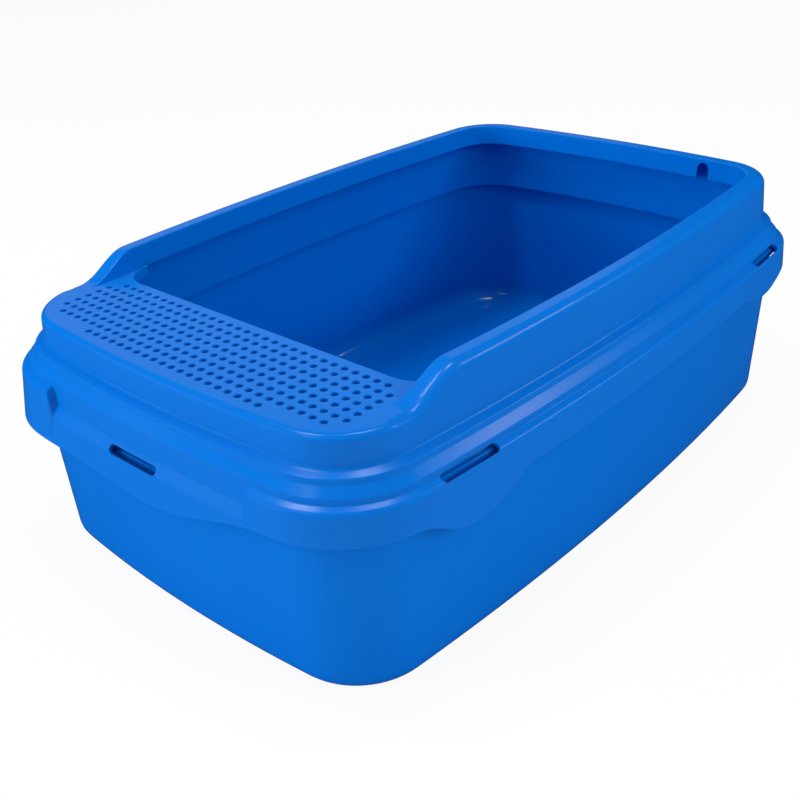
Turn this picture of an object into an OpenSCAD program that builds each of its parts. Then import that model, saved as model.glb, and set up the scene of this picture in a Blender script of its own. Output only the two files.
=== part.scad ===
// Litter box for a cat, entered over the top: a deep pan and a lift-off rim with a perforated front step.
// Millimetres, +Z up. The origin is on the floor under the middle of the box; the step is at the -Y end.

/* [Footprint] */
// Length over the skirt, front to back
box_length = 580; // [540:1:640]
// Width over the skirt, side to side
box_width = 382; // [350:1:420]
// Corner radius of the skirt, in plan
corner_r = 70; // [62:1:84]
// Outward bow of each long side
side_bow = 10; // [5:0.5:14]
// Outward bow of each short end
end_bow = 6; // [3:0.5:9]

/* [Walls] */
// Wall of both mouldings
wall = 2.6; // [2:0.1:3.2]
// Gap kept between the rim and the pan it sits on
seat_gap = 0.4; // [0.3:0.05:0.8]

/* [Pan] */
// How far the pan's wall stands inside the skirt's edge, at the floor
pan_foot_in = 16; // [13.5:0.5:22]
// Radius of the pan's bottom edge, outside
pan_foot_r = 11; // [6:0.5:16]
// Radius inside, between the pan's wall and its floor
pan_fillet = 24; // [14:1:32]
// How far the bead stands out below the pan's top edge
bead_out = 3; // [2:0.25:3.5]
// Height of that bead
bead_h = 5.5; // [4:0.5:6.5]

/* [Rim ledges] */
// Height of the skirt's plain lower edge above the floor
skirt_foot_z = 119; // [112:1:122]
// Height of the skirt's shoulder
skirt_top_z = 140.5; // [138:0.5:141]
// How far the skirt leans in, from its foot to its shoulder
skirt_lean = 1.6; // [1:0.2:2]
// Height of the outer ledge's foot, where the first small riser stands
outer_ledge_z = 143; // [142:0.5:144]
// How far the first small riser stands inside the skirt's edge
outer_riser_in = 7.6; // [7:0.2:8]
// Height of the first small riser
outer_riser_h = 3.5; // [2:0.25:4]
// Height of the second small riser's foot
inner_ledge_z = 152; // [150:0.5:153]
// How far the second small riser stands inside the skirt's edge
inner_riser_in = 12.8; // [12.4:0.2:13.2]
// Height of the second small riser
inner_riser_h = 3.4; // [2:0.2:4]
// How far each small riser leans over its height
riser_lean = 0.8; // [0.4:0.1:1.2]
// Height of the valley round the foot of the upper wall
valley_z = 158; // [157:0.5:160]

/* [Upper rim] */
// Height of the rim's top edge
rim_h = 194; // [186:1:205]
// How far the upper wall's foot stands inside the skirt's edge
upper_foot_in = 20; // [19:0.5:22]
// How far the upper wall's top stands inside the skirt's edge
upper_top_in = 23; // [22.5:0.5:25]
// Radius of the shoulder between the upper wall and the top
shoulder_r = 11; // [6:0.5:12]
// Width of the top, from the upper wall to the opening
rim_top_w = 14.5; // [14:0.5:18]
// How far the lip hangs below the top, round the opening
lip_h = 17.4; // [17:0.2:20]
// How far the inner apron reaches down inside the pan, below the valley
apron_h = 28; // [10:1:40]

/* [Entry step] */
// Height of the step's top
step_z = 177.4; // [174:0.2:180]
// Distance from the box's middle to the edge of the step at the opening
step_edge_y = 183; // [175:1:190]
// Radius of the step's outer shoulder
step_shoulder_r = 7; // [3:0.5:9]
// Distance from the box's middle to the low end of each side ramp
ramp_low_y = 213; // [206:1:216]
// Distance from the box's middle to the high end of each side ramp
ramp_high_y = 171; // [160:1:176]
// Radius of the opening's two front corners
gusset_r = 26; // [16:1:34]
// How far the step's edge turns down at the opening
step_lip_h = 6; // [2:0.5:10]

/* [Perforations] */
// Diameter of each hole
hole_d = 4.6; // [3:0.1:5.5]
// Distance from hole to hole, both ways
hole_pitch = 8.7; // [8:0.1:9.5]
// Rows of holes, from the opening to the front
hole_rows = 8; // [4:1:8]
// Distance from the step's edge at the opening to the first row
hole_margin = 9.3; // [7:0.1:10]
// Half the width of the field of holes
field_half_w = 142; // [100:1:146]
// Distance from the box's middle to the front of the field
field_front_y = 262; // [230:1:264]
// Corner radius of the field
field_r = 50; // [20:1:60]
// Least distance from the skirt's front edge to a hole's centre
field_border = 33.9; // [30:0.1:40]

/* [Latches] */
// Length of each latch slot
slot_length = 43; // [30:1:50]
// Width of each latch slot
slot_w = 6.4; // [5:0.2:7]
// Distance of a slot's middle from the skirt's edge, in plan
slot_in = 4.1; // [3.8:0.1:4.4]
// Distance from the box's middle to each side slot
side_slot_y = 190; // [150:1:195]
// Depth of the skirt's tab below each slot
tab_depth = 17; // [6:0.5:20]
// Length of each tab, over its run-outs
tab_length = 108; // [90:1:130]
// Half the width of the dropped shelf across the front
shelf_half_w = 98; // [80:1:106]
// How far the front shelf and its skirt drop
shelf_drop = 18; // [10:0.5:20]
// Height of the front shelf's slope, which carries the front slot
shelf_rise = 7.5; // [6:0.5:9]
// Height of the catch behind each tab
catch_h = 4; // [2:0.5:5]

/* [Scoop notch] */
// Distance of the scoop notch from the middle of the back
notch_x = 93; // [0:1:100]
// Width of the scoop notch
notch_w = 11; // [6:0.5:16]
// Height of the scoop notch above the lip's lower edge
notch_h = 14; // [8:0.5:15]

/* [Hidden] */
plastic = [0.0, 0.33, 0.8];
half_l = box_length / 2;
half_w = box_width / 2;

// Eight arcs, tangent to each other, make the plan: two long sides, two ends and four corners.
// The angles are rounded, so that every stretch ends exactly where the next one starts.
function tidy(a) = round(a * 10000) / 10000;
side_chord = half_l - corner_r;
end_chord = half_w - corner_r;
side_r = (side_chord * side_chord + side_bow * side_bow) / (2 * side_bow);
side_c = [half_w - side_r, 0];
rough_r = (end_chord * end_chord + end_bow * end_bow) / (2 * end_bow);
rough_c = [0, half_l - rough_r];
centres_apart = norm(rough_c - side_c);
along = (rough_c - side_c) / centres_apart;
across = [-along[1], along[0]];
reach = (pow(side_r - corner_r, 2) - pow(rough_r - corner_r, 2) + pow(centres_apart, 2))
    / (2 * centres_apart);
rise = sqrt(pow(side_r - corner_r, 2) - reach * reach);
corner_a = side_c + reach * along + rise * across;
corner_b = side_c + reach * along - rise * across;
rough_corner = corner_a[0] + corner_a[1] > corner_b[0] + corner_b[1] ? corner_a : corner_b;
side_end_a = tidy(atan2(rough_corner[1] - side_c[1], rough_corner[0] - side_c[0]));
corner_end_a = tidy(atan2(rough_corner[1] - rough_c[1], rough_corner[0] - rough_c[0]));
corner_c = side_c + (side_r - corner_r) * [cos(side_end_a), sin(side_end_a)];
end_r = corner_r + corner_c[0] / cos(corner_end_a);
end_c = [0, corner_c[1] - (end_r - corner_r) * sin(corner_end_a)];
side_end_y = side_r * sin(side_end_a);
end_end_x = end_r * cos(corner_end_a);

function side_angle(y) = tidy(asin(y / side_r));
function end_angle(x) = tidy(90 - asin(x / end_r));
function side_point(y, inset) = let (a = side_angle(y)) side_c + (side_r - inset) * [cos(a), sin(a)];

// A station is [distance outside the skirt's edge, height, corner radius]; rounded() makes points of them.
function unit(v) = v / norm(v);
function arc_steps(r) = r < 0.01 ? 0 : r < 3 ? 2 : 4;
function corner_points(a, b, c, r) =
    let (u = unit(a - b), v = unit(c - b), half = acos(max(-1, min(1, u * v))) / 2, cut = r / tan(half))
    let (mid = b + unit(u + v) * r / sin(half), from = b + u * cut - mid, to = b + v * cut - mid)
    let (turn = atan2(from[0] * to[1] - from[1] * to[0], from * to), n = arc_steps(r))
    [for (i = [0:n]) let (t = turn * i / n)
        mid + [from[0] * cos(t) - from[1] * sin(t), from[0] * sin(t) + from[1] * cos(t)]];
function rounded(st) = [for (i = [0:len(st) - 1])
    let (p = [st[i][0], st[i][1]])
    each (i == 0 || i == len(st) - 1 || st[i][2] < 0.01 ? [p]
        : corner_points([st[i - 1][0], st[i - 1][1]], p, [st[i + 1][0], st[i + 1][1]], st[i][2]))];

// The skin's other face is the same stations moved to their left, so a left turn tightens and a right one
// widens.
function left_of(v) = [-v[1], v[0]];
function turn_of(u, v) = u[0] * v[1] - u[1] * v[0];
function at(st, i) = [st[i][0], st[i][1]];
function moved(st, t) = [for (i = [0:len(st) - 1])
    let (b = max(i, 1), f = min(i, len(st) - 2))
    let (u = unit(at(st, b) - at(st, b - 1)), v = unit(at(st, f + 1) - at(st, f)))
    let (n1 = left_of(u), n2 = left_of(v), q = at(st, i) + (n1 + n2) * t / (1 + n1 * n2))
    [q[0], q[1], st[i][2] < 0.01 ? 0 : turn_of(u, v) > 0 ? max(0, st[i][2] - t) : st[i][2] + t]];
function backwards(p) = [for (i = [len(p) - 1:-1:0]) p[i]];

// A shift in two steps, because one number of six digits is too coarse for stretches to meet exactly.
module shift(v) {
    coarse = [for (c = v) round(c * 100) / 100];
    translate(coarse) translate(v - coarse) children();
}

// One stretch of a wall: the section carried along one arc, from one angle to another.
module stretch(centre, r, a0, a1) {
    shift([centre[0], centre[1], 0])
        rotate_extrude(start = a0, angle = a1 - a0, $fn = r > 200 ? 1440 : 96)
            shift([r, 0, 0])
                children();
}

module right_side(y0, y1) {
    stretch(side_c, side_r, side_angle(y0), side_angle(y1)) children();
}

module back_corner() {
    stretch(corner_c, corner_r, side_end_a, corner_end_a) children();
}

module back_end(x0, x1) {
    stretch(end_c, end_r, end_angle(x1), end_angle(x0)) children();
}

module both_sides() {
    children();
    mirror([1, 0, 0]) children();
}

module at_front() {
    mirror([0, 1, 0]) children();
}

// Stations of the rim's skin, from the skirt's foot to the lip.
valley_at = 6;
shelf_lean = 0.75 * skirt_lean;
shelf_riser_in = shelf_lean + 5;
skirt_end_z = skirt_foot_z - tab_depth;
wall_lean = (upper_top_in - upper_foot_in) / (rim_h - valley_z);
lip_in = upper_top_in + rim_top_w;
lip_lean = 0.05;
function lip_point(z, r) = [-lip_in - lip_lean * (rim_h - z), z, r];
function wall_point(z, r) = [-upper_foot_in - wall_lean * (z - valley_z), z, r];
function wall_inside(z) = wall_point(z, 0) - [wall * sqrt(1 + wall_lean * wall_lean), 0, 0];
function ledge_stations() = [
    [-outer_riser_in, outer_ledge_z + outer_riser_h, 1.4],
    [-inner_riser_in, inner_ledge_z, 1],
    [-inner_riser_in - riser_lean, inner_ledge_z + inner_riser_h, 1.4],
    wall_point(valley_z, 3)];
function skirt_stations() = [
    [0, skirt_end_z, 0],
    [-skirt_lean, skirt_top_z, 3.6],
    [riser_lean - outer_riser_in, outer_ledge_z, 0.8]];
function shelf_skirt_stations() = let (z = skirt_top_z - shelf_drop)
    [[0, skirt_end_z, 0], [-shelf_lean, z, 3.6], [-shelf_riser_in, z + shelf_rise, 1.6]];
function high_top() = [
    wall_point(rim_h, shoulder_r),
    lip_point(rim_h, 0.9),
    lip_point(rim_h - lip_h, 0)];
function low_top() = [wall_point(step_z, step_shoulder_r), [-lip_in, step_z, 0]];
function high_rim() = concat(skirt_stations(), ledge_stations(), high_top());
function low_rim() = concat(skirt_stations(), ledge_stations(), low_top());
function shelf_rim() = concat(shelf_skirt_stations(), ledge_stations(), low_top());
function rim_foot() = concat(skirt_stations(), ledge_stations(), [wall_point(ramp_foot_z, 0)]);

// The upper wall runs on straight down below the valley, as an apron inside the pan.
function apron(st) =
    let (foot = at(st, valley_at), v = unit(foot - at(st, valley_at - 1)))
    let (up = unit(at(st, valley_at + 1) - foot))
    let (face = -upper_foot_in - 0.2, q = foot + left_of(v) * wall, m = foot + left_of(up) * wall)
    [[face, q[1] + (face - q[0]) * v[1] / v[0], 0],
        [face, valley_z - apron_h, 0],
        [face - wall, valley_z - apron_h, 0],
        [face - wall, m[1] + (face - wall - m[0]) * up[1] / up[0], 0]];
function level_foot(m, z) = [m[0][0] + (m[1][0] - m[0][0]) * (z - m[0][1]) / (m[1][1] - m[0][1]), z, 0];
function inner_stations(st) = let (m = moved(st, wall), last = len(m) - 1)
    concat([level_foot(m, st[0][1])], [for (i = [1:valley_at - 1]) m[i]],
        apron(st),
        last > valley_at + 1 ? [for (i = [valley_at + 1:last]) m[i]] : [wall_inside(st[last][1])]);
module rim_section(st) {
    polygon(concat(rounded(st), backwards(rounded(inner_stations(st)))));
}

// Pan
pan_top_in = outer_riser_in + wall + seat_gap;
function under_ledge(inset) = let (m = moved(high_rim(), wall))
    m[3][1] + (m[4][1] - m[3][1]) * (inset + m[3][0]) / (m[3][0] - m[4][0]);
pan_top_z = under_ledge(pan_top_in) - 1.4 * seat_gap;
bead_top_z = skirt_top_z - 1.2;
pan_lean = (pan_foot_in - pan_top_in) / pan_top_z;
floor_in = pan_foot_in + pan_foot_r + pan_fillet + 2;
low_bead_x = shelf_half_w + wall + 1;

module pan_section(bead_top) {
    outer = rounded([
        [-floor_in, 0, 0],
        [-pan_foot_in, 0, pan_foot_r],
        [-pan_top_in - pan_lean * (pan_top_z - bead_top + bead_h), bead_top - bead_h, 0],
        [-pan_top_in + bead_out, bead_top - bead_h, 0.8],
        [-pan_top_in + bead_out, bead_top, 1.2],
        [-pan_top_in - pan_lean * (pan_top_z - bead_top), bead_top, 0],
        [-pan_top_in, pan_top_z, 0.6],
        [-pan_top_in - wall, pan_top_z, 0]]);
    inner = rounded([
        [-pan_top_in - wall, pan_top_z, 0],
        [-pan_foot_in - wall, wall, pan_fillet],
        [-floor_in, wall, 0]]);
    polygon(concat(outer, [for (i = [1:len(inner) - 1]) inner[i]]));
}

module pan() {
    floor_w = box_width - 2 * floor_in + 12;
    floor_l = box_length - 2 * floor_in + 12;
    color(plastic) {
        both_sides() {
            right_side(-side_end_y, side_end_y) pan_section(bead_top_z);
            back_corner() pan_section(bead_top_z);
            at_front() {
                back_corner() pan_section(bead_top_z);
                back_end(low_bead_x, end_end_x) pan_section(bead_top_z);
            }
        }
        back_end(-end_end_x, end_end_x) pan_section(bead_top_z);
        at_front() back_end(-low_bead_x, low_bead_x) pan_section(bead_top_z - shelf_drop);
        translate([-floor_w / 2, -floor_l / 2, 0]) cube([floor_w, floor_l, wall]);
    }
}

// Each side ramp carries the step's shoulder up to the high rim.
// Its top and its shoulder's facets follow one smooth rise, and are cut from a plain swept block.
ramp_foot_z = valley_z + 6;
ramp_facets = 12;
function ease(u) = u * u * (3 - 2 * u);
function ramp_share(y) = ease(max(0, min(1, (y + ramp_low_y) / (ramp_low_y - ramp_high_y))));
function ramp_level(y, tilt, depth) =
    let (k = ramp_share(y), r = step_shoulder_r + (shoulder_r - step_shoulder_r) * k)
    let (z = step_z + (rim_h - step_z) * k, x = side_point(y, -wall_point(z, 0)[0])[0])
    (x - r) * sin(tilt) + (z - r) * cos(tilt) + r - depth;

module below_ramp(depth) {
    ys = [for (i = [-1:ramp_facets + 1]) -ramp_low_y + (ramp_low_y - ramp_high_y) * i / ramp_facets];
    difference() {
        children();
        for (tilt = [0, 22, 44, 66])
            rotate([0, tilt, 0]) rotate([90, 0, 90]) translate([0, 0, -250]) linear_extrude(500)
                polygon(concat([for (y = ys) [y, ramp_level(y, tilt, depth)]],
                    [[ys[len(ys) - 1], 500], [ys[0], 500]]));
    }
}

module ramp() {
    foot = wall_point(ramp_foot_z, 0);
    inside = wall_inside(ramp_foot_z);
    over = rim_h + 6;
    lip_foot = lip_point(step_z - wall, 0);
    lip_inside = [wall * sqrt(1 + lip_lean * lip_lean), 0, 0];
    block = [foot, wall_point(over, 0), lip_point(over, 0), lip_foot,
        lip_foot + lip_inside + [1, 0, 0], inside - [1, 0, 0]];
    hollow = [inside - [0, 3, 0], inside, wall_inside(over), lip_point(over, 0) + lip_inside,
        lip_foot + lip_inside, lip_foot + lip_inside - [0, 3, 0]];
    difference() {
        below_ramp(0) right_side(-ramp_low_y, -ramp_high_y)
            polygon([for (q = block) [q[0], q[1]]]);
        below_ramp(wall) right_side(-ramp_low_y - 1, -ramp_high_y + 1)
            polygon([for (q = hollow) [q[0], q[1]]]);
    }
}

// The step's plate, its two gussets, its flange along the opening and its field of holes.
function plate_edge(inset) = concat(
    [for (i = [0:4]) side_point(-side_end_y * i / 4 - step_edge_y * (1 - i / 4), inset)],
    [for (i = [1:8]) let (a = side_end_a + (corner_end_a - side_end_a) * i / 8)
        [corner_c[0], -corner_c[1]] + (corner_r - inset) * [cos(a), -sin(a)]],
    [for (i = [1:3]) let (a = corner_end_a + (90 - corner_end_a) * i / 4)
        [end_c[0], -end_c[1]] + (end_r - inset) * [cos(a), -sin(a)]]);
function in_field(x, y) =
    let (cx = field_half_w - field_r, cy = field_front_y - field_r)
    x < field_half_w && norm([x, y] - end_c) < end_r - field_border
        && (x < cx || y < cy || norm([x - cx, y - cy]) < field_r);

module hole_field() {
    columns = floor(field_half_w / hole_pitch);
    for (j = [0:hole_rows - 1]) {
        for (i = [0:columns - 1]) {
            x = (i + 0.5) * hole_pitch;
            y = step_edge_y + hole_margin + j * hole_pitch;
            if (in_field(x + (j == 0 ? hole_pitch : 0), y))
                both_sides() translate([x, -y]) circle(d = hole_d, $fn = 16);
        }
    }
}

module gusset() {
    cy = -step_edge_y + gusset_r;
    cx = side_c[0] + sqrt(pow(side_r - lip_in - 0.7 - gusset_r, 2) - cy * cy);
    difference() {
        polygon(concat(
            [[cx, -step_edge_y - 1]],
            [for (i = [0:4]) side_point(-step_edge_y - 1 + (gusset_r + 1) * i / 4, lip_in - 0.4)],
            [[cx, cy]]));
        translate([cx, cy]) circle(r = gusset_r, $fn = 96);
    }
}

module step_plate() {
    half = plate_edge(lip_in - 0.6);
    edge = side_point(-step_edge_y, lip_in - 0.6)[0];
    translate([0, 0, step_z - wall]) linear_extrude(wall) {
        polygon(concat(half, backwards([for (p = half) [-p[0], p[1]]])));
        both_sides() gusset();
    }
    translate([-edge, -step_edge_y - wall, step_z - wall - step_lip_h])
        cube([2 * edge, wall, step_lip_h + 0.5]);
}

// The low front of the rim, with the step.
module front() {
    difference() {
        union() {
            both_sides() {
                right_side(-side_end_y, -ramp_low_y) rim_section(low_rim());
                at_front() {
                    back_corner() rim_section(low_rim());
                    back_end(shelf_half_w, end_end_x) rim_section(low_rim());
                    back_end(shelf_half_w, shelf_half_w + wall) shelf_end_section();
                }
            }
            at_front() back_end(-shelf_half_w, shelf_half_w) rim_section(shelf_rim());
            step_plate();
        }
        translate([0, 0, step_z - 2 * wall]) linear_extrude(3 * wall) hole_field();
    }
}

// What is cut from the skirt's foot, seen along an edge: all but the tabs, which run out in waves.
function dip(s, half_span, run) = ease(max(0, min(1, (half_span - abs(s)) / run)));
module foot_cut(half_length, middles, half_span, run) {
    wave = [for (m = middles) each [for (i = [-16:16]) let (s = half_span * i / 16)
        if (half_span - abs(s) <= run)
            [m + s, skirt_foot_z - (tab_depth + 0.6) * dip(s, half_span, run)]]];
    below = [[half_length, skirt_foot_z], [half_length, 0], [-half_length, 0]];
    polygon(concat([[-half_length, skirt_foot_z]], wave, below));
}

module skirt_cut() {
    split = shelf_half_w + 2;
    both_sides() translate([split, 0, 0]) rotate([90, 0, 90]) linear_extrude(half_w)
        foot_cut(half_l + 5, [-side_slot_y, side_slot_y], tab_length / 2, tab_length / 4);
    translate([0, -half_l + 60, 0]) rotate([90, 0, 0]) linear_extrude(70)
        foot_cut(split, [0], shelf_half_w + 1, 0.7 * shelf_half_w);
    translate([0, half_l + 10, 0]) rotate([90, 0, 0]) linear_extrude(70)
        foot_cut(split, [0], tab_length / 2, tab_length / 4);
}

// The long slots over the catches, and the catches.
module slot_cutter(tilt) {
    rotate([0, tilt, 0]) translate([0, 0, -7]) linear_extrude(14) {
        square([slot_w, slot_length - slot_w], center = true);
        for (end = [-1, 1])
            translate([0, end * (slot_length - slot_w) / 2]) circle(d = slot_w, $fn = 32);
    }
}

module slots() {
    band_tilt = atan2(2 * (outer_ledge_z - skirt_top_z), 5.4);
    shelf_tilt = atan2(shelf_rise, shelf_riser_in - shelf_lean);
    side = side_point(side_slot_y, slot_in);
    both_sides() for (end = [-1, 1]) translate([side[0], end * side[1], skirt_top_z])
        rotate(end * side_angle(side_slot_y)) slot_cutter(band_tilt);
    translate([0, half_l - slot_in, skirt_top_z]) rotate(90) slot_cutter(band_tilt);
    translate([0, -half_l + (shelf_lean + shelf_riser_in) / 2, skirt_top_z - shelf_drop + shelf_rise / 2])
        rotate(-90) slot_cutter(shelf_tilt);
}

module catch_section(bead_foot_z) {
    top = bead_foot_z - seat_gap;
    tip = pan_top_in - bead_out - seat_gap;
    root = 0.6 - wall;
    polygon([[root, top - catch_h - 3], [-tip, top - catch_h / 2], [-tip, top], [root, top]]);
}

module catches() {
    half = slot_length / 2 - 2;
    foot_z = bead_top_z - bead_h;
    both_sides() for (end = [-1, 1])
        right_side(end * side_slot_y - half, end * side_slot_y + half) catch_section(foot_z);
    back_end(-half, half) catch_section(foot_z);
    at_front() back_end(-half, half) catch_section(foot_z - shelf_drop);
}

// The walls that close the two ends of the dropped shelf.
module shelf_end_section() {
    st = shelf_rim();
    shelf_inside = [for (i = [0:3]) inner_stations(st)[i]];
    plain = [for (i = [0:3]) high_rim()[i]];
    polygon(concat(rounded(plain), backwards(rounded(shelf_inside))));
}

module scoop_notch() {
    foot = rim_h - lip_h - 1;
    top = foot + 1 + notch_h - notch_w / 2;
    translate([notch_x, half_l - lip_in + 3, 0]) rotate([90, 0, 0]) linear_extrude(8) {
        translate([-notch_w / 2, foot]) square([notch_w, top - foot]);
        translate([0, top]) circle(d = notch_w, $fn = 48);
    }
}

module rim() {
    color(plastic) difference() {
        union() {
            both_sides() {
                right_side(-ramp_high_y, side_end_y) rim_section(high_rim());
                right_side(-ramp_low_y, -ramp_high_y) rim_section(rim_foot());
                ramp();
                back_corner() rim_section(high_rim());
            }
            back_end(-end_end_x, end_end_x) rim_section(high_rim());
            front();
            catches();
        }
        skirt_cut();
        slots();
        scoop_notch();
    }
}

pan();
rim();
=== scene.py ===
import math

import bpy
import numpy as np
from mathutils import Matrix, Vector
from mathutils.geometry import delaunay_2d_cdt


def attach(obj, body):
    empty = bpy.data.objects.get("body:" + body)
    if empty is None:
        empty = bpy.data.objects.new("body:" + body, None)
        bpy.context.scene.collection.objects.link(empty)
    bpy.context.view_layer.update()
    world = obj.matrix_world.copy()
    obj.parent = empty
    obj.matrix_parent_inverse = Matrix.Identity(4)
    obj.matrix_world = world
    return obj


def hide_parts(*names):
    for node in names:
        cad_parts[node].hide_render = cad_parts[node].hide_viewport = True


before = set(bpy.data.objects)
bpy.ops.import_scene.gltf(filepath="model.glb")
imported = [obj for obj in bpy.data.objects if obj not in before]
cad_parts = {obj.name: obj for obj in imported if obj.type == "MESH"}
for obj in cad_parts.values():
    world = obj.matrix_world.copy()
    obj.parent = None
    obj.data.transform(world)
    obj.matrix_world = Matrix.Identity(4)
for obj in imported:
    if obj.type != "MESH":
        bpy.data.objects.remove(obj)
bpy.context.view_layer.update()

mm = 0.001

# Everything below is in millimetres until a mesh is made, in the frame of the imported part:
# +Z up, the low step at -Y, and z = 0 on the floor.

plan = {
    "length": 580.0,  # over the skirt
    "width": 382.0,
    "cornerRadius": 70.0,
    "sideBow": 10.0,  # how far each long side bulges
    "endBow": 6.0,
    "endZone": 250.0,  # beyond this, front and back end features hold
}


# Eight arcs, each tangent to the next: the corner circle touches both big circles from inside,
# so its centre is where two circles meet whose radii are the big ones less the corner's. A big
# circle's radius is (half chord squared + bow squared) / (2 * bow).
def planArcs(p):
    halfLength, halfWidth, corner = p["length"] / 2, p["width"] / 2, p["cornerRadius"]
    sideRadius = ((halfLength - corner) ** 2 + p["sideBow"] ** 2) / (2 * p["sideBow"])
    endRadius = ((halfWidth - corner) ** 2 + p["endBow"] ** 2) / (2 * p["endBow"])
    sideX, endY = halfWidth - sideRadius, halfLength - endRadius
    apart = math.hypot(sideX, endY)
    ux, uy = -sideX / apart, endY / apart
    reach = ((sideRadius - corner) ** 2 - (endRadius - corner) ** 2 + apart**2) / (2 * apart)
    rise = math.sqrt((sideRadius - corner) ** 2 - reach**2)
    cx, cy = max(
        ((sideX + reach * ux + s * rise * uy, reach * uy - s * rise * ux) for s in (1, -1)),
        key=sum,
    )
    sideAngle = math.atan2(cy, cx - sideX)
    endAngle = math.atan2(cy - endY, cx)
    halfTurn = math.pi
    # centre, radius, first and last angle; the front's arc is split where the distance starts
    rows = [
        (0, -endY, endRadius, -halfTurn / 2, -endAngle),
        (cx, -cy, corner, -endAngle, -sideAngle),
        (sideX, 0, sideRadius, -sideAngle, sideAngle),
        (cx, cy, corner, sideAngle, endAngle),
        (0, endY, endRadius, endAngle, halfTurn - endAngle),
        (-cx, cy, corner, halfTurn - endAngle, halfTurn - sideAngle),
        (-sideX, 0, sideRadius, halfTurn - sideAngle, halfTurn + sideAngle),
        (-cx, -cy, corner, halfTurn + sideAngle, halfTurn + endAngle),
        (0, -endY, endRadius, halfTurn + endAngle, 1.5 * halfTurn),
    ]
    arcs = np.array(rows)
    lengths = arcs[:, 2] * (arcs[:, 4] - arcs[:, 3])
    return arcs, np.concatenate([[0], np.cumsum(lengths)])


arcs, arcStarts = planArcs(plan)
girth = arcStarts[-1]


# Point and outward direction at each distance s along the skirt's edge, from the front's middle: on
# an arc, the angle grows by distance over radius.
def along(s):
    i = np.clip(np.searchsorted(arcStarts, s, side="right") - 1, 0, len(arcs) - 1)
    angle = arcs[i, 3] + (s - arcStarts[i]) / arcs[i, 2]
    out = np.stack([np.cos(angle), np.sin(angle)], axis=-1)
    return arcs[i, :2] + arcs[i, 2, None] * out, out


# Smooth step from 0 to 1: u squared times (3 - 2u).
def ease(u):
    u = np.clip(u, 0, 1)
    return u * u * (3 - 2 * u)


rim = {
    "wall": 2.6,
    "skirtFootZ": 119.0,
    "skirtTopZ": 140.5,
    "skirtLean": 1.6,
    "outerLedgeZ": 143.0,
    "outerLedgeIn": 6.8,
    "outerRiserIn": 7.6,
    "outerRiser": 3.5,
    "innerLedgeZ": 152.0,
    "innerLedgeIn": 12.8,
    "innerRiserIn": 13.6,
    "innerRiser": 3.4,
    "valleyZ": 158.0,
    "topZ": 194.0,
    "wallIn": 20.0,  # how far in the upper wall stands, at the valley
    "wallLean": 3.0 / 36.0,
    "lipIn": 37.5,  # how far in the opening's edge is, at the top
    "lipLean": 0.05,
    "lipDepth": 17.4,
    "apronDepth": 28.0,
    "apronSet": 0.2,  # the apron's outside, in from the upper wall's foot
    "shoulder": 11.0,
    "stepZ": 177.4,
    "stepShoulder": 7.0,
    "stepEdgeY": -183.0,
    "stepLip": 6.0,
    "stepLipShift": 7.3,  # how far further out the skin ends in the low front
    "stepLipFrom": -216.0,
    "stepLipRun": 18.0,
    "rampLowY": -213.0,
    "rampHighY": -171.0,
    "gusset": 26.0,
    "shelfHalf": 97.0,
    "shelfDrop": 18.0,
    "shelfRise": 5.0,  # how much less the outer riser's foot drops
    "shelfEndWidth": 3.4,  # width over which the shelf's end wall falls
    "edgeRadius": 0.9,
}

# The skirt's foot hangs lower behind each latch slot, and round the left front corner, where it
# also flares.
foot = {
    "sideFront": {"middle": -181.0, "half": 50.0, "run": 42.0, "depth": 16.5},
    "sideBack": {"middle": 193.0, "half": 46.0, "run": 40.0, "depth": 8.5},
    "back": {"middle": 0.0, "half": 54.0, "run": 30.0, "depth": 15.0},
    "frontDepth": 21.0,
    "frontLeft": (-241.0, 232.0),  # where the front's dip starts, and how far it takes
    "frontRight": (115.0, 107.0),
    "cornerDepth": 14.8,
    "cornerFrom": (-20.0, -150.0),  # x and y where the corner's dip starts
    "cornerRun": 40.0,
    "flare": 4.0,
    "flareFrom": (-60.0, -205.0),
    "flareRun": (60.0, 40.0),
}


# Full depth within the tab, falling smoothly to nothing over its run at both ends.
def dip(tab, v):
    return tab["depth"] * ease((tab["half"] - np.abs(v - tab["middle"])) / tab["run"])


# How far the foot hangs below its plain height: the dips are joined by a smooth maximum, the sixth
# root of the sum of their sixth powers.
def footDepth(x, y):
    front, back = y < -plan["endZone"], y > plan["endZone"]
    left = ease((x - foot["frontLeft"][0]) / foot["frontLeft"][1])
    right = ease((foot["frontRight"][0] - x) / foot["frontRight"][1])
    dips = [
        dip(foot["sideFront"], y),
        dip(foot["sideBack"], y),
        np.where(back, dip(foot["back"], x), 0),
        np.where(front, foot["frontDepth"] * np.minimum(left, right), 0),
        foot["cornerDepth"]
        * ease((foot["cornerFrom"][0] - x) / foot["cornerRun"])
        * ease((foot["cornerFrom"][1] - y) / foot["cornerRun"]),
    ]
    return (np.array(dips) ** 6).sum(0) ** (1 / 6)


# The flare grows smoothly towards the left and towards the front, as the product of the two.
def cornerFlare(x, y):
    towardsLeft = ease((foot["flareFrom"][0] - x) / foot["flareRun"][0])
    towardsFront = ease((foot["flareFrom"][1] - y) / foot["flareRun"][1])
    return foot["flare"] * towardsLeft * towardsFront


# Gaps between the stations round the plan.
gaps = {
    "count": 0.1,  # step with which the edge is walked along
    "sides": 7.5,
    "corners": 2.5,
    "tabs": 3.2,
    "tabsY": (128.0, 240.0),
    "ramps": 1.4,
    "rampsHalf": 24.0,
    "ends": 4.0,
    "endsDepth": 12.0,
    "shelfEnd": 0.25,
    "shelfEndGrowth": 0.12,
    "shelfEndHalf": 6.0,
}


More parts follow.
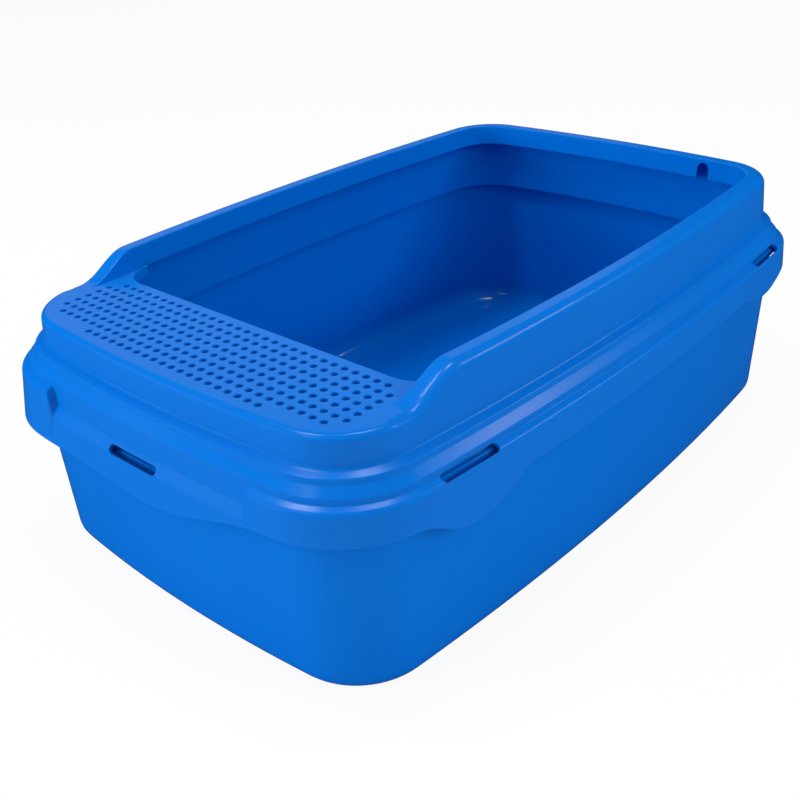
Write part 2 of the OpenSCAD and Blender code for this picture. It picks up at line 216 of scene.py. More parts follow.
# Stations round the plan, close together where the section changes and far apart where it doesn't:
# one over the gap is summed along the edge, and a station stands at each whole number of the sum.
def stationsRound():
    fine = np.arange(0, girth, gaps["count"])
    xy, _ = along(fine)
    x, y = np.abs(xy[:, 0]), np.abs(xy[:, 1])
    i = np.searchsorted(arcStarts, fine, side="right") - 1
    inCorner = arcs[i, 2] <= plan["cornerRadius"]
    gap = np.where(inCorner, gaps["corners"], gaps["sides"])
    onTabs = (y > gaps["tabsY"][0]) & (y < gaps["tabsY"][1])
    gap = np.where(onTabs, np.minimum(gap, gaps["tabs"]), gap)
    front = xy[:, 1] < 0
    middleOfRamp = -(rim["rampLowY"] + rim["rampHighY"]) / 2
    onRamp = front & (np.abs(y - middleOfRamp) < gaps["rampsHalf"])
    gap = np.where(onRamp, gaps["ramps"], gap)
    atEnds = y > plan["length"] / 2 - gaps["endsDepth"]
    gap = np.where(atEnds, np.minimum(gap, gaps["ends"]), gap)
    toShelfEnd = np.abs(x - rim["shelfHalf"])
    atShelfEnd = front & (y > plan["endZone"]) & (toShelfEnd < gaps["shelfEndHalf"])
    shelfGap = gaps["shelfEnd"] + gaps["shelfEndGrowth"] * toShelfEnd
    gap = np.where(atShelfEnd, np.minimum(gap, shelfGap), gap)
    count = np.cumsum(gaps["count"] / gap)
    total = int(round(count[-1]))
    return np.interp(np.arange(total), count * total / count[-1], fine)


# Stations of single numbers and of arrays over the plan, all as arrays over the plan.
def spread(size, stations):
    return np.array([[np.broadcast_to(v, size) for v in st] for st in stations])


# The share of a line that an arc may take, and how far from each arc's end a guard point stands,
# which keeps the flat beside it flat.
mostOfLine = 0.46
guardShare, guardMost = 0.02, 0.5


# A closed line of stations (distance outside the skirt's edge, height, corner radius) gets each
# corner rounded by a tangent arc: from the corner, both arc ends are radius / tan(half the corner's
# angle) away. Each value may be an array over the plan, so all sections are rounded at once.
def roundedLoop(stations, steps):
    count = len(stations)
    full = spread(max(np.size(v) for st in stations for v in st), stations)
    points = full[:, :2].transpose(0, 2, 1)
    out = []
    for i in range(count):
        here = points[i]
        back = points[i - 1] - here
        ahead = points[(i + 1) % count] - here
        reachBack = np.linalg.norm(back, axis=-1)
        reachAhead = np.linalg.norm(ahead, axis=-1)
        u, v = back / reachBack[:, None], ahead / reachAhead[:, None]
        half = np.arccos(np.clip((u * v).sum(-1), -1, 1)) / 2
        shorter = np.minimum(reachBack, reachAhead)
        cut = np.minimum(full[i, 2] / np.tan(half), mostOfLine * shorter)
        radius = cut * np.tan(half)
        middle = u + v
        middle = middle / np.maximum(np.linalg.norm(middle, axis=-1), 1e-9)[:, None]
        centre = here + middle * (radius / np.sin(half))[:, None]
        start = here + u * cut[:, None] - centre
        end = here + v * cut[:, None] - centre
        across = start[:, 0] * end[:, 1] - start[:, 1] * end[:, 0]
        turn = np.arctan2(across, (start * end).sum(-1))
        guard = np.minimum(guardMost, guardShare * reachBack)[:, None]
        out.append(here + u * (cut[:, None] + guard))
        n = steps[i]
        for j in range(n + 1):
            c, s = np.cos(turn * j / n)[:, None], np.sin(turn * j / n)[:, None]
            x, z = start[:, :1], start[:, 1:]
            out.append(centre + np.concatenate([x * c - z * s, x * s + z * c], axis=1))
        guard = np.minimum(guardMost, guardShare * reachAhead)[:, None]
        out.append(here + v * (cut[:, None] + guard))
    return np.stack(out, axis=1)


# Both neighbours' lines move to their left by t, and the corner goes to where they then meet.
def movedCorner(before, here, after, t):
    u, v = here[:2] - before[:2], after[:2] - here[:2]
    u, v = u / np.linalg.norm(u, axis=0), v / np.linalg.norm(v, axis=0)
    nu, nv = np.stack([-u[1], u[0]]), np.stack([-v[1], v[0]])
    shift = (nu + nv) * t / (1 + (nu * nv).sum(0))
    bend = u[0] * v[1] - u[1] * v[0]
    radius = np.where(bend > 0, np.maximum(0.2, here[2] - t), here[2] + t)
    return here[0] + shift[0], here[1] + shift[1], radius


# Points in millimetres and faces become an object at the origin, in metres.
def makeMesh(name, verts, faces, smooth=True):
    mesh = bpy.data.meshes.new(name)
    mesh.from_pydata((np.asarray(verts) * mm).tolist(), [], [list(map(int, f)) for f in faces])
    mesh.polygons.foreach_set("use_smooth", np.full(len(mesh.polygons), smooth))
    mesh.update()
    made = bpy.data.objects.new(name, mesh)
    bpy.context.collection.objects.link(made)
    return made


# Quads of a grid of rows by columns, wrapped round in the ways that are closed.
def gridFaces(rows, columns, wrapRows, wrapColumns):
    i = np.arange(rows if wrapRows else rows - 1)[:, None]
    j = np.arange(columns if wrapColumns else columns - 1)[None, :]
    i2, j2 = (i + 1) % rows, (j + 1) % columns
    corners = (i * columns + j, i2 * columns + j, i2 * columns + j2, i * columns + j2)
    return np.stack(np.broadcast_arrays(*corners), axis=-1).reshape(-1, 4)


# A section's points carried round the plan: each goes out from the skirt's edge by its own
# distance, at its own height.
def carried(s, section):
    xy, out = along(s)
    flat = xy[:, None, :] + out[:, None, :] * section[:, :, :1]
    return np.concatenate([flat, section[:, :, 1:]], axis=-1)


# 0 on the low step, 1 on the high part, smooth in between.
def rampShare(y):
    return ease((y - rim["rampLowY"]) / (rim["rampHighY"] - rim["rampLowY"]))


# The lip leans, so its distance from the skirt's edge follows from its height; so does the wall's.
def lipAt(z):
    return -rim["lipIn"] - rim["lipLean"] * (rim["topZ"] - z)


def wallAt(z):
    return -rim["wallIn"] - rim["wallLean"] * (z - rim["valleyZ"])


# In the low front the skin ends further out, so that the step's plate carries the whole field of
# holes.
def lipShift(y):
    return rim["stepLipShift"] * ease((rim["stepLipFrom"] - y) / rim["stepLipRun"])


# The rim's moulded skin: skirt, two ledges, valley, upper wall, shoulder, top and lip, with one
# wall thickness all through. A height on the ramp is the low one times (1 - share) plus the high
# one times share, and the shelf's share drops the outer band in the front.
def rimSections(s):
    xy, _ = along(s)
    x, y = xy[:, 0], xy[:, 1]
    t, r = rim["wall"], rim["edgeRadius"]
    share, shift = rampShare(y), lipShift(y)
    topZ = rim["stepZ"] + (rim["topZ"] - rim["stepZ"]) * share
    # on the step the skin ends just under the plate, which closes it
    lipZ = (rim["stepZ"] - t - 0.8) * (1 - share) + (rim["topZ"] - rim["lipDepth"]) * share
    shoulder = rim["stepShoulder"] + (rim["shoulder"] - rim["stepShoulder"]) * share
    toShelfEnd = (rim["shelfHalf"] - np.abs(x)) / rim["shelfEndWidth"]
    shelf = np.where(y < -plan["endZone"], ease(toShelfEnd + 0.5), 0)
    footZ = rim["skirtFootZ"] - footDepth(x, y)
    flare = cornerFlare(x, y)
    drop = rim["shelfDrop"] * shelf
    riserFootZ = rim["outerLedgeZ"] + rim["shelfRise"] * shelf - drop
    # the outside: distance outside the skirt's edge, height, radius
    outer = spread(len(s), [
        (flare, footZ, r),
        (-rim["skirtLean"] + 0.4 * shelf, rim["skirtTopZ"] - drop, 3.6),
        (-rim["outerLedgeIn"] + 0.6 * shelf, riserFootZ, 0.8 + 0.8 * shelf),
        (-rim["outerRiserIn"], rim["outerLedgeZ"] + rim["outerRiser"], 1.4),
        (-rim["innerLedgeIn"], rim["innerLedgeZ"], 1.0),
        (-rim["innerRiserIn"], rim["innerLedgeZ"] + rim["innerRiser"], 1.4),
        (-rim["wallIn"], rim["valleyZ"], 3.0),
        (wallAt(topZ), topZ, shoulder),
        (lipAt(topZ) + shift, topZ, 0.15 + 1.0 * share),
        (lipAt(lipZ) + shift, lipZ, 0.1 + 0.8 * share),
    ])
    inner = [movedCorner(outer[i - 1], outer[i], outer[i + 1], t) for i in range(1, 9)]
    # the apron hangs from the valley's underside, where the last ledge would go on straight
    face = -rim["wallIn"] - rim["apronSet"]
    ledge = movedCorner(outer[5], outer[6], 2 * outer[6] - outer[5], t)
    slope = (outer[6][1] - outer[5][1]) / (outer[6][0] - outer[5][0])
    wallInside = -t * math.hypot(1, rim["wallLean"])
    joinZ = rim["valleyZ"] + (wallInside - rim["wallIn"] - (face - t)) / rim["wallLean"]
    apronZ = rim["valleyZ"] - rim["apronDepth"]
    line = list(outer) + [
        (lipAt(lipZ) + shift + t, lipZ, 0.1 + 0.8 * share),
        (lipAt(topZ - t) + shift + t, topZ - t, 0.2),
        inner[6],
        (face - t, joinZ, 3.0),
        (face - t, apronZ, r),
        (face, apronZ, r),
        (face, ledge[1] + (face - ledge[0]) * slope, 0.4),
        *inner[4::-1],
        (flare - t, footZ, r),
    ]
    steps = [2, 5, 3, 3, 3, 3, 4, 8, 2, 2, 2, 2, 6, 2, 2, 2, 2, 3, 3, 3, 3, 3, 2]
    return roundedLoop(line, steps)


def makeRimSkin():
    s = stationsRound()
    points = carried(s, rimSections(s))
    rows, columns = points.shape[:2]
    print("rim skin:", rows, "stations by", columns, "points")
    return makeMesh("rim_shell", points.reshape(-1, 3), gridFaces(rows, columns, True, True))


pan = {
    "topIn": 10.6,  # in from the skirt's edge
    "footIn": 16.0,
    "topZ": 145.3,
    "footRadius": 11.0,
    "fillet": 24.0,
    "beadOut": 3.0,
    "beadHeight": 5.5,
    "beadTopZ": 139.3,
    "floorIn": 56.0,
    "lowBeadHalf": 101.6,  # where the bead goes down with the rim's shelf
}


# The pan's section is an open line from the underside, up the outside, over the bead and the top
# edge, and down to the floor. The underside and the floor are then closed by a fan round their
# middles. The loop's first and last two points would bend the flat floor's edge, so they go.
def makePan():
    s = stationsRound()
    xy, _ = along(s)
    t = rim["wall"]
    low = (xy[:, 1] < -plan["endZone"]) & (np.abs(xy[:, 0]) < pan["lowBeadHalf"])
    beadTop = pan["beadTopZ"] - np.where(low, rim["shelfDrop"], 0)
    beadFoot = beadTop - pan["beadHeight"]
    beadOut = pan["beadOut"] - pan["topIn"]
    lean = (pan["footIn"] - pan["topIn"]) / pan["topZ"]

    def wallPoint(z):
        return -pan["topIn"] - lean * (pan["topZ"] - z)

    line = [
        (-pan["floorIn"], 0.0, 0.0),
        (-pan["footIn"], 0.0, pan["footRadius"]),
        (wallPoint(beadFoot), beadFoot, 0.6),
        (beadOut, beadFoot, 0.8),
        (beadOut, beadTop, 1.2),
        (wallPoint(beadTop), beadTop, 0.6),
        (-pan["topIn"], pan["topZ"], rim["edgeRadius"]),
        (-pan["topIn"] - t, pan["topZ"], rim["edgeRadius"]),
        (-pan["footIn"] - t, t, pan["fillet"]),
        (-pan["floorIn"], t, 0.0),
    ]
    section = roundedLoop(line, [1, 6, 2, 3, 3, 2, 3, 3, 12, 1])[:, 2:-2]
    points = carried(s, section)
    rows, columns = points.shape[:2]
    verts = np.concatenate([points.reshape(-1, 3), [[0, 0, 0], [0, 0, t]]])
    quads = gridFaces(rows, columns, True, False)
    here = np.arange(rows) * columns
    ahead = np.roll(here, -1)
    underMiddle, floorMiddle = np.full(rows, len(verts) - 2), np.full(rows, len(verts) - 1)
    under = np.stack([here, underMiddle, ahead], axis=-1)
    last = columns - 1
    floor = np.stack([here + last, ahead + last, floorMiddle], axis=-1)
    print("pan:", rows, "stations by", columns, "points")
    return makeMesh("pan_shell", verts, [*quads.tolist(), *under.tolist(), *floor.tolist()])


holes = {
    "diameter": 4.6,
    "pitch": 8.7,
    "rows": 8,
    "margin": 9.3,  # from the step's edge to the first row
    "halfWidth": 142.0,
    "frontY": 262.0,
    "cornerRadius": 50.0,
    "border": 33.9,  # least distance from the skirt's edge
    "chamfer": 0.45,
    "sides": 14,
}


# A square grid, kept where a hole lies inside the field: within its half width, its rounded front
# corner and the end's arc. The first row is one hole shorter at each end.
def holeCentres():
    pitch, corner = holes["pitch"], holes["cornerRadius"]
    x = (np.arange(int(holes["halfWidth"] / pitch)) + 0.5) * pitch
    y = -rim["stepEdgeY"] + holes["margin"] + np.arange(holes["rows"]) * pitch
    gx, gy = np.meshgrid(x, y)
    testX = gx + np.where(gy == y[0], pitch, 0)
    cornerX, cornerY = holes["halfWidth"] - corner, holes["frontY"] - corner
    endY, endRadius = -arcs[0, 1], arcs[0, 2]
    inside = testX < holes["halfWidth"]
    inside &= np.hypot(testX, gy - endY) < endRadius - holes["border"]
    inCorner = (testX >= cornerX) & (gy >= cornerY)
    inside &= ~inCorner | (np.hypot(testX - cornerX, gy - cornerY) < corner)
    right = np.stack([gx[inside], -gy[inside]], axis=-1)
    return np.concatenate([right, right * [-1, 1]])


# The edge of the step at the opening: a straight run between two quarter turns that end on the lip.
# A turn's centre is a gusset's radius inside the lip's arc and inside the straight run.
def openingEdge(offset, count=18):
    sideX, sideRadius = arcs[2, 0], arcs[2, 2]
    centreY = rim["stepEdgeY"] + rim["gusset"]
    lipRadius = sideRadius + lipAt(rim["stepZ"])
    centreX = sideX + math.sqrt((lipRadius - rim["gusset"]) ** 2 - centreY**2)
    lastAngle = math.atan2(centreY, centreX - sideX)
    angle = np.linspace(-math.pi / 2, lastAngle, count)
    radius = rim["gusset"] + offset
    turned = radius * np.stack([np.cos(angle), np.sin(angle)], axis=-1)
    right = [centreX, centreY] + turned
    across = np.linspace(-1, 1, 20)[1:-1, None]
    straight = across * [[centreX, 0]] + [[0, rim["stepEdgeY"] - offset]]
    return np.concatenate([right[::-1] * [-1, 1], straight, right])


plate = {
    "overEdge": 1.2,  # how far the plate goes into the turned-down edge
    "overLip": 1.4,  # and past the skin's end
    "lessOnRamp": 0.6,
    "backY": -150.0,
}


# Along the skin's end from ramp to ramp, then back along the opening's edge.
def plateOutline():
    edge = openingEdge(plate["overEdge"])
    s = stationsRound()
    xy, _ = along(s)
    front = xy[:, 1] < plate["backY"]
    s = np.concatenate([s[front & (s > girth / 2)], s[front & (s <= girth / 2)]])
    xy, out = along(s)
    y = xy[:, 1]
    onRamp = np.minimum(1, 30 * rampShare(y))
    inset = lipAt(rim["stepZ"]) + lipShift(y) + plate["overLip"] - plate["lessOnRamp"] * onRamp
    lip = xy + out * inset[:, None]
    sideX, sideRadius = arcs[2, 0], arcs[2, 2]
    fromEdge = sideRadius - np.hypot(np.abs(edge[:, 0]) - sideX, edge[:, 1])
    edge = edge[fromEdge > -lipAt(rim["stepZ"]) - 0.8]
    lip = lip[lip[:, 1] < edge[0, 1] - 0.5]
    return np.concatenate([lip, edge[::-1]])


# A point is inside if a line from it towards +X crosses the outline an odd number of times.
def insideOutline(points, outline):
    x, y = points[:, None, 0], points[:, None, 1]
    a, b = outline, np.roll(outline, -1, axis=0)
    above = (a[None, :, 1] > y) != (b[None, :, 1] > y)
    rise = np.where(b[:, 1] == a[:, 1], 1e-9, b[:, 1] - a[:, 1])
    crossX = a[None, :, 0] + (y - a[None, :, 1]) * ((b - a)[:, 0] / rise)[None]
    return ((crossX > x) & above).sum(1) % 2 == 1


def insideHoles(points, centres, radius):
    inside = np.zeros(len(points), bool)
    for block in np.array_split(centres, 8):
        apart = np.linalg.norm(points[:, None] - block[None], axis=-1)
        inside |= (apart < radius).any(1)
    return inside


# The step's plate: a flat outline with round holes, triangulated once for the top and once, turned
# over, for the underside, with a wall round the outline and a sleeve in each hole: a small chamfer,
# the hole's wall and a chamfer again.
def makeStepPlate():
    t, z, chamfer, sides = rim["wall"], rim["stepZ"], holes["chamfer"], holes["sides"]
    outline, centres = plateOutline(), holeCentres()
    angle = np.arange(sides) * 2 * math.pi / sides
    ring = np.stack([np.cos(angle), np.sin(angle)], axis=-1)
    wide = holes["diameter"] / 2 + chamfer
    circles = (centres[:, None, :] + ring[None] * wide).reshape(-1, 2)
    flat = np.concatenate([outline, circles])

    n = len(outline)
    border = np.stack([np.arange(n), (np.arange(n) + 1) % n], axis=-1)
    k = np.arange(len(centres))[:, None] * sides
    j = np.arange(sides)[None]
    rings = np.stack([k + j, k + (j + 1) % sides], axis=-1).reshape(-1, 2)
    edges = border.tolist() + (rings + n).tolist()
    made = delaunay_2d_cdt([Vector(p) for p in flat.tolist()], edges, [], 0, 1e-6)
    cover, tris = np.array([v[:] for v in made[0]]), np.array(made[2])
    place = np.zeros(len(flat), int)  # where each point went
    for new, olds in enumerate(made[3]):
        place[olds] = new
    middle = cover[tris].mean(1)
    kept = insideOutline(middle, outline) & ~insideHoles(middle, centres, wide * 0.95)
    tris = tris[kept]
    corner = cover[tris]
    area = np.cross(corner[:, 1] - corner[:, 0], corner[:, 2] - corner[:, 0])
    tris = np.where((area > 0)[:, None], tris, tris[:, ::-1])

    size = len(cover)
    top = np.column_stack([cover, np.full(size, z)])
    under = np.column_stack([cover, np.full(size, z - t)])
    bore = (centres[:, None, :] + ring[None] * (holes["diameter"] / 2)).reshape(-1, 2)
    upper = np.column_stack([bore, np.full(len(bore), z - chamfer)])
    lower = np.column_stack([bore, np.full(len(bore), z - t + chamfer)])
    topHere, topAhead = place[rings + n].T
    here, ahead = rings.T
    first, second = 2 * size, 2 * size + len(bore)
    sleeves = np.concatenate([
        np.stack([topAhead, topHere, first + here, first + ahead], axis=-1),
        np.stack([first + ahead, first + here, second + here, second + ahead], axis=-1),
        np.stack([second + ahead, second + here, size + topHere, size + topAhead], axis=-1),
    ])
    a, b = place[border].T
    walls = np.stack([a, size + a, size + b, b], axis=-1)
    faces = [*tris.tolist(), *(tris[:, ::-1] + size).tolist()]
    faces += [*sleeves[:, ::-1].tolist(), *walls.tolist()]
    print("step plate:", len(centres), "holes")
    verts = np.concatenate([top, under, upper, lower])
    return makeMesh("step_plate", verts, faces, smooth=False)


# The faces of a tube whose ring is closed and whose length isn't, with a cap at each end.
def tubeFaces(rows, columns):
    faces = gridFaces(rows, columns, False, True).tolist()
    last = list(range((rows - 1) * columns, rows * columns))
    return faces + [list(range(columns)), last[::-1]]


# The turned-down edge of the step: a small closed profile carried along the opening's front.
def makeStepLip():
    t, z = rim["wall"], rim["stepZ"]
    low = z - t - rim["stepLip"]
    line = [(t, z, 0.0), (0.0, z, 1.2), (0.0, low, 0.8), (t, low, 0.8)]
    profile = roundedLoop(line, [1, 6, 3, 3])[0]
    near, far = openingEdge(0.0), openingEdge(1.0)
    out = far - near
    flat = near[:, None, :] + out[:, None, :] * profile[None, :, :1]
    height = np.broadcast_to(profile[None, :, 1:], flat.shape[:2] + (1,))
    points = np.concatenate([flat, height], axis=-1)
    faces = tubeFaces(*points.shape[:2])
    return makeMesh("step_lip", points.reshape(-1, 3), faces, smooth=False)


cutters = {
    "slotLength": 47.5,
    "slotWidth": 6.4,
    "slotDepth": 13.0,
    "sideSlots": [(-185.0, 4.4, 141.9), (197.0, 5.0, 142.2)],  # y, in from the skirt's edge, z
    "backSlot": (0.0, 4.4, 141.9),  # x, in from the skirt's edge, z
    "frontSlot": (-4.0, 2.9, 125.0),
    "bandTilt": 42.8,  # degrees, square to the skirt's top
    "shelfTilt": 56.3,
    "notchX": 93.0,
    "notchWidth": 11.0,
    "notchHeight": 14.0,
    "notchDepth": 8.0,
    "notchLength": 30.0,  # of the tool, of which only the top end cuts
}


# A prism with round ends, as a ring of points at each end of its depth.
def stadium(name, length, width, depth, place):
    turns = np.linspace(0, math.pi, 13)
    r = width / 2
    half = np.stack([r * np.cos(turns), (length / 2 - r) + r * np.sin(turns)], axis=-1)
    ring = np.concatenate([half, -half])
    n = len(ring)
    ends = [np.column_stack([ring, np.full(n, z)]) for z in (-depth / 2, depth / 2)]
    verts = np.concatenate(ends) @ place[:3, :3].T + place[:3, 3]
    i = np.arange(n)
    walls = np.stack([i, (i + 1) % n, (i + 1) % n + n, i + n], axis=-1).tolist()
    return makeMesh(name, verts, walls + [i[::-1].tolist(), (i + n).tolist()], smooth=False)


# Where a tool goes: tilted about its own length, then turned about the vertical.
def turnedPlace(origin, zTurn, tilt):
    turn = Matrix.Rotation(zTurn, 4, "Z") @ Matrix.Rotation(tilt, 4, "Y")
    place = np.array(turn)
    place[:3, 3] = origin
    return place


# On a side, a slot at height y along the arc stands at the angle whose sine is y over the radius.
def slotPlaces():
    bandTilt, shelfTilt = math.radians(cutters["bandTilt"]), math.radians(cutters["shelfTilt"])
    sideX, sideRadius = arcs[2, 0], arcs[2, 2]
    places = []
    for y, inset, z in cutters["sideSlots"]:
        angle = math.asin(y / sideRadius)
        x = sideX + (sideRadius - inset) * math.cos(angle)
        places.append(turnedPlace((x, y, z), angle, bandTilt))
        places.append(turnedPlace((-x, y, z), math.pi - angle, bandTilt))
    endY = plan["length"] / 2
    x, inset, z = cutters["backSlot"]
    places.append(turnedPlace((x, endY - inset, z), math.pi / 2, bandTilt))
    x, inset, z = cutters["frontSlot"]
    places.append(turnedPlace((x, inset - endY, z), -math.pi / 2, shelfTilt))
    return places


# The tools of the six slots, and the one of the notch in the back wall.
def slotTools():
    length, width, depth = cutters["slotLength"], cutters["slotWidth"], cutters["slotDepth"]
    tools = [stadium(f"slot_{i}", length, width, depth, p) for i, p in enumerate(slotPlaces())]
    place = np.eye(4)
    place[:3, :3] = np.array(Matrix.Rotation(math.pi / 2, 3, "X"))
    top = rim["topZ"] - rim["lipDepth"] + cutters["notchHeight"]
    y = plan["length"] / 2 - rim["lipIn"] - 1
    place[:3, 3] = (cutters["notchX"], y, top - cutters["notchLength"] / 2)
    size = (cutters["notchLength"], cutters["notchWidth"], cutters["notchDepth"])
    return tools + [stadium("notch", *size, place)]


# Joins or cuts with several pieces in one Boolean, keeps the result as plain mesh, drops the tools.
def combine(piece, operation, tools):
    group = bpy.data.collections.new(operation.lower())
    for tool in tools:
        group.objects.link(tool)
    step = piece.modifiers.new(operation.lower(), "BOOLEAN")
    step.operation, step.solver = operation, "MANIFOLD"
    step.operand_type, step.collection = "COLLECTION", group
    graph = bpy.context.evaluated_depsgraph_get()
    made = bpy.data.meshes.new_from_object(piece.evaluated_get(graph))
    piece.modifiers.clear()
    piece.data = made
    for tool in tools:
        bpy.data.objects.remove(tool)
    bpy.data.collections.remove(group)


# Smooth shading all over, except across edges that turn more than this.
def sharpen(piece, degrees):
    piece.data.polygons.foreach_set("use_smooth", np.full(len(piece.data.polygons), True))
    piece.data.set_sharp_from_angle(angle=math.radians(degrees))


catch = {
    "height": 7.0,
    "tipHeight": 2.0,
    "play": 0.4,  # to the pan's bead, in both directions
    "rooted": 0.6,  # how deep its root sits in the skirt
    "shorter": 2.0,  # at each end, than the slot
    "rows": 16,
}


# The catches under the slots, which snap below the pan's bead: a small hooked section on a short
# arc, at the place on the plan that lies nearest to the middle of the slot.
def makeCatches():
    pieces = []
    half = cutters["slotLength"] / 2 - catch["shorter"]
    root = catch["rooted"] - rim["wall"]
    tip = pan["beadOut"] - pan["topIn"] - catch["play"]
    s = np.arange(0, girth, gaps["count"])
    xy, _ = along(s)
    sideX, endY = plan["width"] / 2, plan["length"] / 2
    spots = [(sideX * way, y, 0) for way in (1, -1) for y, _, _ in cutters["sideSlots"]]
    spots += [(0, endY, 0), (cutters["frontSlot"][0], -endY, rim["shelfDrop"])]
    for number, (x, y, drop) in enumerate(spots):
        middle = s[np.hypot(xy[:, 0] - x, xy[:, 1] - y).argmin()]
        top = pan["beadTopZ"] - pan["beadHeight"] - catch["play"] - drop
        line = [
            (root, top - catch["height"], 0.2),
            (tip, top - catch["tipHeight"], 0.6),
            (tip, top, 0.4),
            (root, top, 0.2),
        ]
        loop = roundedLoop(line, [1, 3, 2, 1])
        stretch = np.linspace(middle - half, middle + half, catch["rows"])
        points = carried(stretch % girth, np.repeat(loop, catch["rows"], axis=0))
        faces = [face[::-1] for face in tubeFaces(*points.shape[:2])]
        name = f"catch_{number + 1}"
        pieces.append(makeMesh(name, points.reshape(-1, 3), faces, smooth=False))
    return pieces


plastic = {
    "colour": (0.0, 0.162, 0.665),  # saturated blue
    "shade": 0.93,  # colour of the faint cloudy flow marks, against the plain colour
    "clouds": 7.0,  # per metre
    "specular": 0.22,
    "roughnessDrift": (-0.03, 0.04),
    "grain": 2600.0,  # fine mould texture, per metre
    "grainDepth": 0.00003,
    "rimFinish": (0.22, 0.3),  # roughness and strength of the grain
    "panFinish": (0.14, 0.1),
}


# Moulded polypropylene: one saturated colour with faint clouds, a roughness that drifts a little,
# and a fine grain. The pan is more polished than the rim.
def makePlastic(name, roughness, grainStrength):
    made = bpy.data.materials.new(name)
    made.use_nodes = True
    nodes, links = made.node_tree.nodes, made.node_tree.links
    shader = nodes["Principled BSDF"]
    shader.inputs["IOR"].default_value = 1.49
    shader.inputs["Specular IOR Level"].default_value = plastic["specular"]
    place = nodes.new("ShaderNodeTexCoord")
    clouds = nodes.new("ShaderNodeTexNoise")
    clouds.inputs["Scale"].default_value = plastic["clouds"]
    clouds.inputs["Detail"].default_value = 3.0
    links.new(place.outputs["Object"], clouds.inputs["Vector"])
    tint = nodes.new("ShaderNodeMix")
    tint.data_type = "RGBA"
    full = plastic["colour"]
    tint.inputs["A"].default_value = (*(v * plastic["shade"] for v in full), 1)
    tint.inputs["B"].default_value = (*full, 1)
    links.new(clouds.outputs["Fac"], tint.inputs["Factor"])
    links.new(tint.outputs["Result"], shader.inputs["Base Color"])
    gloss = nodes.new("ShaderNodeMapRange")
    less, more = plastic["roughnessDrift"]
    gloss.inputs["To Min"].default_value = roughness + less
    gloss.inputs["To Max"].default_value = roughness + more
    links.new(clouds.outputs["Fac"], gloss.inputs["Value"])
    links.new(gloss.outputs["Result"], shader.inputs["Roughness"])
    grain = nodes.new("ShaderNodeTexNoise")
    grain.inputs["Scale"].default_value = plastic["grain"]
    grain.inputs["Detail"].default_value = 1.0
    links.new(place.outputs["Object"], grain.inputs["Vector"])
    bump = nodes.new("ShaderNodeBump")
    bump.inputs["Strength"].default_value = grainStrength
    bump.inputs["Distance"].default_value = plastic["grainDepth"]
    links.new(grain.outputs["Fac"], bump.inputs["Height"])
    links.new(bump.outputs["Normal"], shader.inputs["Normal"])
    return made


rimPlastic = makePlastic("blue_plastic_satin", *plastic["rimFinish"])
panPlastic = makePlastic("blue_plastic_gloss", *plastic["panFinish"])


def finishPiece(piece, body, node, material):
    piece.data.materials.clear()
    piece.data.materials.append(material)
    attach(piece, body)
    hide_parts(node)


rimShell = makeRimSkin()
combine(rimShell, "UNION", [makeStepPlate(), makeStepLip(), *makeCatches()])
combine(rimShell, "DIFFERENCE", slotTools())
sharpen(rimShell, 40)
print("rim joined and cut:", len(rimShell.data.polygons), "faces")
finishPiece(rimShell, "rim", "rim", rimPlastic)
finishPiece(makePan(), "pan", "pan", panPlastic)
print("pieces dressed")

# Lamps: bearing from the front towards the right side, height above the horizon, distance, size,
# power, and whether the plastic mirrors it. The mirrored ones stand where the highlights on the
# ledges, shoulders and corners point.
studio = {
    "floorColour": 0.9,
    "floorSize": 40.0,  # metres, like all sizes from here on
    "floorGap": 0.0002,
    "backdrop": 0.92,  # share of plain white that the camera sees on the floor
    "ambient": 0.40,
    "inReflections": 0.02,  # how bright the floor is where the plastic mirrors it
    "lamps": {
        "key": (-35, 15, 2.4, (1.6, 0.9), 33.0, False),
        "side": (103, 26, 2.6, (1.5, 0.5), 22.0, False),
        "glint": (-11, 45, 2.2, (0.9, 0.25), 3.0, True),
        "rearRight": (135, 33, 2.2, (0.7, 0.12), 4.5, True),
        "rearLeft": (-127, 27, 2.6, (2.4, 0.9), 3.0, True),
        "stripA": (137, 84, 1.7, (0.22, 0.4), 6.0, True),
        "stripB": (-43, 66, 1.7, (0.22, 0.4), 6.0, True),
    },
}


# On a sphere round the object's middle, facing it: with bearing b and height h, the direction is
# (sin b cos h, -cos b cos h, sin h).
def areaLamp(name, bearing, height, distance, size, power, mirrored):
    lamp = bpy.data.lights.new(name, "AREA")
    lamp.shape, lamp.size, lamp.size_y = "RECTANGLE", size[0], size[1]
    lamp.energy = power
    b, h = math.radians(bearing), math.radians(height)
    towards = Vector((math.sin(b) * math.cos(h), -math.cos(b) * math.cos(h), math.sin(h)))
    made = bpy.data.objects.new(name, lamp)
    made.visible_glossy = mirrored
    made.location = Vector((0, 0, 0.1)) + towards * distance
    made.rotation_mode = "QUATERNION"
    made.rotation_quaternion = towards.to_track_quat("Z", "Y")
    bpy.context.collection.objects.link(made)


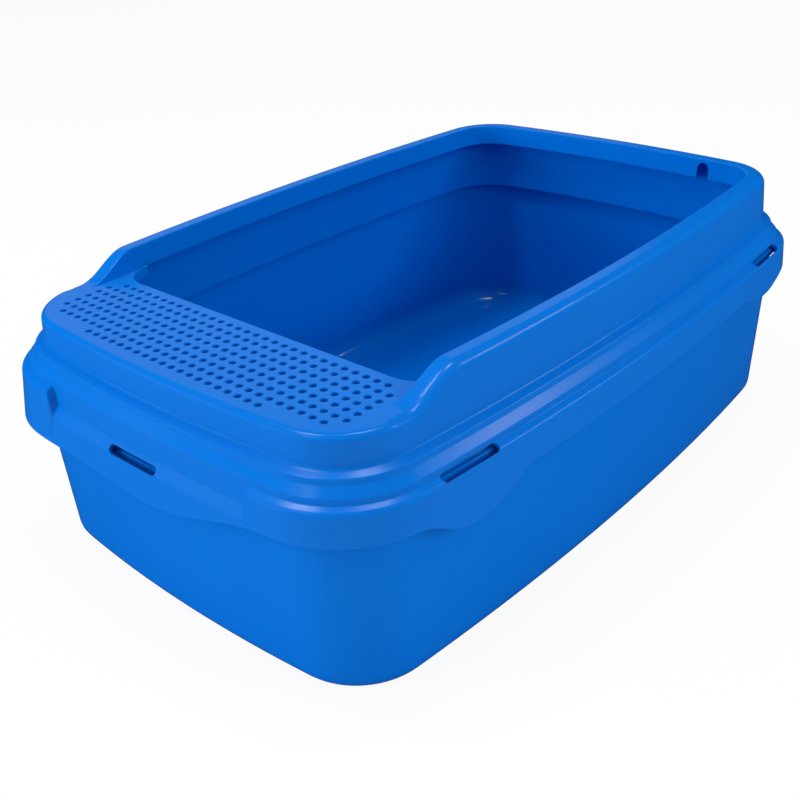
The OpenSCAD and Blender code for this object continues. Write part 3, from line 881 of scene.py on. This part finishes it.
# The camera sees mostly plain white on the floor, mixed with the lit floor that holds the shadow.
# The plastic mirrors it dark, and for all other light it is a plain white floor.
def makeFloor():
    half = studio["floorSize"] / 2
    corners = [(-half, -half, 0), (half, -half, 0), (half, half, 0), (-half, half, 0)]
    mesh = bpy.data.meshes.new("floor")
    mesh.from_pydata(corners, [], [(0, 1, 2, 3)])
    floor = bpy.data.objects.new("floor", mesh)
    bpy.context.collection.objects.link(floor)
    floor.location.z = -studio["floorGap"]
    paint = bpy.data.materials.new("floor_white")
    paint.use_nodes = True
    nodes, links = paint.node_tree.nodes, paint.node_tree.links
    shader = nodes["Principled BSDF"]
    tone = studio["floorColour"]
    shader.inputs["Base Color"].default_value = (tone, tone, tone, 1)
    shader.inputs["Roughness"].default_value = 0.9
    shader.inputs["Specular IOR Level"].default_value = 0.1
    glow = nodes.new("ShaderNodeEmission")
    path = nodes.new("ShaderNodeLightPath")
    part = nodes.new("ShaderNodeMath")
    part.operation, part.inputs[1].default_value = "MULTIPLY", studio["backdrop"]
    mix = nodes.new("ShaderNodeMixShader")
    dark = nodes.new("ShaderNodeEmission")
    dark.inputs["Strength"].default_value = studio["inReflections"]
    last = nodes.new("ShaderNodeMixShader")
    links.new(path.outputs["Is Camera Ray"], part.inputs[0])
    links.new(part.outputs[0], mix.inputs[0])
    links.new(shader.outputs[0], mix.inputs[1])
    links.new(glow.outputs[0], mix.inputs[2])
    links.new(path.outputs["Is Glossy Ray"], last.inputs[0])
    links.new(mix.outputs[0], last.inputs[1])
    links.new(dark.outputs[0], last.inputs[2])
    links.new(last.outputs[0], nodes["Material Output"].inputs["Surface"])
    mesh.materials.append(paint)


# White for the camera, an even soft light for the rest, and not mirrored by the plastic.
def makeSky():
    world = bpy.data.worlds.new("studio")
    bpy.context.scene.world = world
    world.use_nodes = True
    nodes, links = world.node_tree.nodes, world.node_tree.links
    sky = nodes["Background"]
    sky.inputs["Color"].default_value = (1, 1, 1, 1)
    path = nodes.new("ShaderNodeLightPath")
    level = nodes.new("ShaderNodeMix")
    level.inputs["A"].default_value = studio["ambient"]
    level.inputs["B"].default_value = 1.0
    links.new(path.outputs["Is Camera Ray"], level.inputs["Factor"])
    links.new(level.outputs["Result"], sky.inputs["Strength"])
    world.cycles_visibility.glossy = False


makeFloor()
makeSky()
for name, values in studio["lamps"].items():
    areaLamp(name, *values)

view = {
    "azimuth": 42.94,  # degrees, from the front towards the right side
    "elevation": 28.99,
    "distance": 0.72,
    "target": (0.0605, -0.1127, 0.110),
    "roll": -3.15,
    "focal": 1045.0,  # in pixels of an 800 pixel frame
    "frameWidth": 800.0,
}


# Looks from the target's azimuth and elevation, rolled about its own axis.
def makeCamera():
    a, e = math.radians(view["azimuth"]), math.radians(view["elevation"])
    back = Vector((math.sin(a) * math.cos(e), -math.cos(a) * math.cos(e), math.sin(e)))
    right = Vector((math.cos(a), math.sin(a), 0))
    up = back.cross(right)
    c, s = math.cos(math.radians(view["roll"])), math.sin(math.radians(view["roll"]))
    right, up = c * right + s * up, c * up - s * right
    lens = bpy.data.cameras.new("camera")
    lens.sensor_width = 36.0
    lens.lens = view["focal"] / view["frameWidth"] * lens.sensor_width
    lens.clip_start, lens.clip_end = 0.01, 100
    camera = bpy.data.objects.new("camera", lens)
    bpy.context.collection.objects.link(camera)
    place = Matrix((right, up, back)).transposed().to_4x4()
    place.translation = Vector(view["target"]) + back * view["distance"]
    camera.matrix_world = place
    bpy.context.scene.camera = camera


makeCamera()
bpy.context.scene.view_settings.view_transform = "Standard"
print("studio and camera set")
